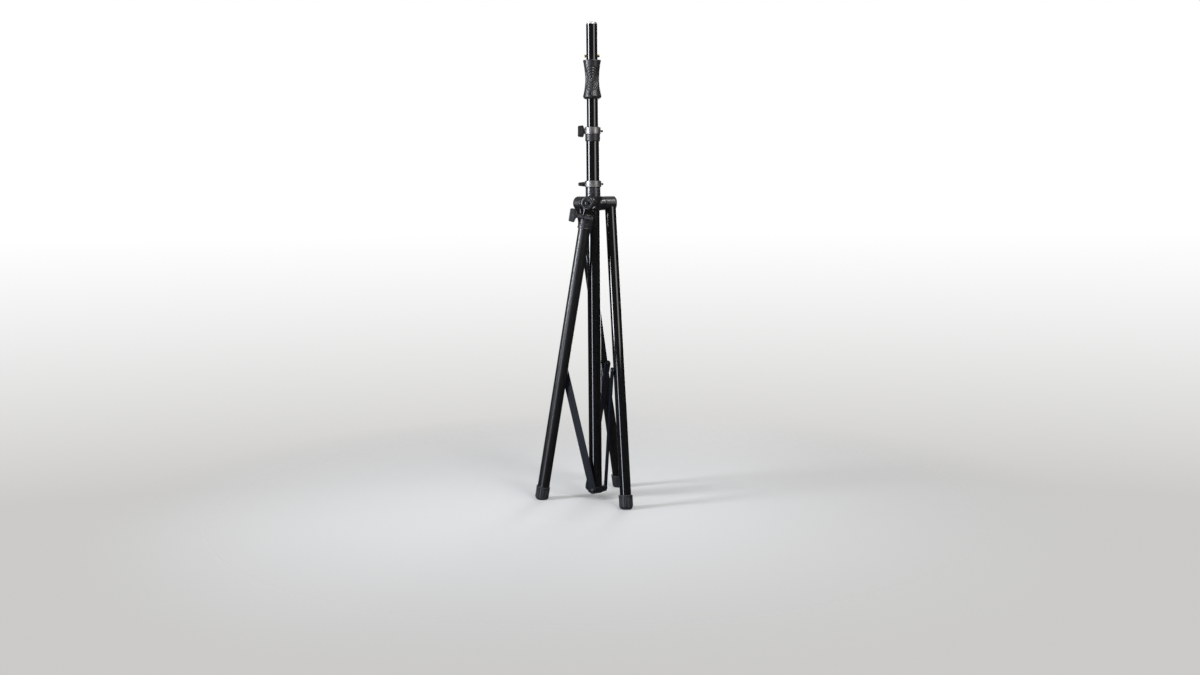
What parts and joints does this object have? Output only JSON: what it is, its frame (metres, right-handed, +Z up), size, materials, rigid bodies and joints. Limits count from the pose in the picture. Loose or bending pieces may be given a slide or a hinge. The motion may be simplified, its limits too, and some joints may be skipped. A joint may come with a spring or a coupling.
{
  "type": "speaker stand",
  "caption": "Tall black tripod speaker stand with a telescoping pole, a sliding hub that spreads three braced legs, and one leg that lengthens for levelling.",
  "frame": {"origin": "on the floor, under the middle of the footprint's box with the legs as stored; the mast's axis stands at x = 42.8 mm, y = -5.2 mm", "axes": "+Z up along the mast and the pole; -Y is the front, the side the picture shows, and +X is to its right"},
  "size_m": [0.3379, 0.372, 1.6275],
  "materials": {
    "black_tube": "gloss black anodised, smooth",
    "collar_plastic": "dark grey moulded, satin",
    "clamp_metal": "satin cast",
    "zinc_hardware": "zinc plated",
    "black_casting": "black powder coated casting",
    "nylon": "natural nylon",
    "grip_plastic": "charcoal satin moulding",
    "knob_plastic": "charcoal moulded, fine texture",
    "spring_steel": "spring temper",
    "button_brass": "yellow zinc plated",
    "cap_aluminium": "turned, bright",
    "foot_rubber": "dark grey rubber",
    "strut_paint": "blue-grey satin paint"
  },
  "bodies": {
    "mast": {"mast_tube": "black_tube", "mast_collar": "collar_plastic", "mast_clamp_band": "clamp_metal", "mast_clamp_nut": "zinc_hardware", "lower_bracket": "black_casting", "strut_pivot_bolts": "zinc_hardware"},
    "pole_carrier": {"pole_guide": "nylon"},
    "pole": {"pole_tube": "black_tube", "pole_cap": "cap_aluminium", "pole_grip": "grip_plastic", "grip_screw": "zinc_hardware", "button_spring": "spring_steel"},
    "left_button": {"left_snap_button": "button_brass"},
    "right_button": {"right_snap_button": "button_brass"},
    "mast_knob": {"mast_knob": "knob_plastic", "mast_clamp_bolt": "zinc_hardware"},
    "hub": {"hub_casting": "black_casting", "hub_liner": "nylon", "hub_collar": "collar_plastic", "hub_clamp_band": "clamp_metal", "hub_clamp_nut": "zinc_hardware", "leg_pivot_bolts": "zinc_hardware"},
    "hub_knob": {"hub_knob": "knob_plastic", "hub_clamp_bolt": "zinc_hardware"},
    "right_leg": {"right_knuckle": "black_casting", "right_leg_tube": "black_tube", "right_foot": "foot_rubber", "right_strut_insert": "zinc_hardware"},
    "rear_leg": {"rear_knuckle": "black_casting", "rear_leg_tube": "black_tube", "rear_foot": "foot_rubber", "rear_strut_insert": "zinc_hardware"},
    "level_leg": {"level_knuckle": "black_casting", "level_inner_tube": "black_tube", "level_tube_glide": "nylon"},
    "level_sleeve": {"level_outer_tube": "black_tube", "level_clamp": "collar_plastic", "level_clamp_nut": "zinc_hardware", "level_foot": "foot_rubber", "level_strut_insert": "zinc_hardware"},
    "level_knob": {"level_knob": "knob_plastic", "level_clamp_bolt": "zinc_hardware"},
    "right_strut": {"right_strut": "strut_paint", "right_strut_rivet": "zinc_hardware"},
    "rear_strut": {"rear_strut": "strut_paint", "rear_strut_rivet": "zinc_hardware"},
    "level_strut": {"level_strut": "strut_paint", "level_strut_rivet": "zinc_hardware"}
  },
  "joints": [
    {"name": "pole_slide", "type": "slide", "parent": "mast", "child": "pole_carrier", "axis": [0, 0, 1], "range_m": [0, 1.09]},
    {"name": "pole_turn", "type": "hinge", "parent": "pole_carrier", "child": "pole", "pos_m": [0.04276, -0.00523, 1.5215], "axis": [0, 0, 1], "continuous": true},
    {"name": "left_button_press", "type": "slide", "parent": "pole", "child": "left_button", "axis": [1, 0, 0], "range_m": [0, 0.0066], "stiffness_N_per_m": 1500, "springref_m": -0.004, "deforming": ["button_spring"]},
    {"name": "right_button_press", "type": "slide", "parent": "pole", "child": "right_button", "axis": [-1, 0, 0], "range_m": [0, 0.0066], "stiffness_N_per_m": 1500, "springref_m": -0.004},
    {"name": "mast_knob_turn", "type": "hinge", "parent": "mast", "child": "mast_knob", "pos_m": [0.00276, 0.02779, 1.2685], "axis": [-1, 0, 0], "range_deg": [0, 360]},
    {"name": "hub_slide", "type": "slide", "parent": "mast", "child": "hub", "axis": [0, 0, -1], "range_m": [-0.018, 0.224]},
    {"name": "hub_knob_turn", "type": "hinge", "parent": "hub", "child": "hub_knob", "pos_m": [0.00276, 0.02897, 1.08936], "axis": [-1, 0, 0], "range_deg": [0, 360]},
    {"name": "right_leg_swing", "type": "hinge", "parent": "hub", "child": "right_leg", "pos_m": [0.1008, 0.01, 1.02436], "axis": [-0.9673, -0.2538, 0], "range_deg": [-2, 24.4]},
    {"name": "rear_leg_swing", "type": "hinge", "parent": "hub", "child": "rear_leg", "pos_m": [0.00056, 0.03742, 1.02436], "axis": [0.7034, -0.7108, 0], "range_deg": [-2, 24.4]},
    {"name": "level_leg_swing", "type": "hinge", "parent": "hub", "child": "level_leg", "pos_m": [0.02693, -0.0631, 1.02436], "axis": [0.2639, 0.9646, 0], "range_deg": [-2, 24.4]},
    {"name": "level_slide", "type": "slide", "parent": "level_leg", "child": "level_sleeve", "axis": [-0.1667, 0.0456, -0.985], "range_m": [0, 0.18]},
    {"name": "level_knob_turn", "type": "hinge", "parent": "level_sleeve", "child": "level_knob", "pos_m": [-0.02152, -0.07945, 0.9851], "axis": [-0.95, 0.2599, 0.1728], "range_deg": [0, 360]},
    {"name": "right_strut_swing", "type": "hinge", "parent": "mast", "child": "right_strut", "pos_m": [0.07725, 0.00382, 0.035], "axis": [0.9673, 0.2538, 0], "range_deg": [-2.9, 34.9]},
    {"name": "rear_strut_swing", "type": "hinge", "parent": "mast", "child": "rear_strut", "pos_m": [0.01769, 0.02011, 0.035], "axis": [-0.7034, 0.7108, 0], "range_deg": [-2.9, 34.9]},
    {"name": "level_strut_swing", "type": "hinge", "parent": "mast", "child": "level_strut", "pos_m": [0.03336, -0.03961, 0.035], "axis": [-0.2639, -0.9646, 0], "range_deg": [-2.9, 34.9]}
  ],
  "couplings": [
    {"joint": "right_leg_swing", "follows": "hub_slide", "rad_per_m": 1.899},
    {"joint": "rear_leg_swing", "follows": "hub_slide", "rad_per_m": 1.899},
    {"joint": "level_leg_swing", "follows": "hub_slide", "rad_per_m": 1.899},
    {"joint": "right_strut_swing", "follows": "hub_slide", "rad_per_m": 2.715},
    {"joint": "rear_strut_swing", "follows": "hub_slide", "rad_per_m": 2.715},
    {"joint": "level_strut_swing", "follows": "hub_slide", "rad_per_m": 2.715}
  ]
}
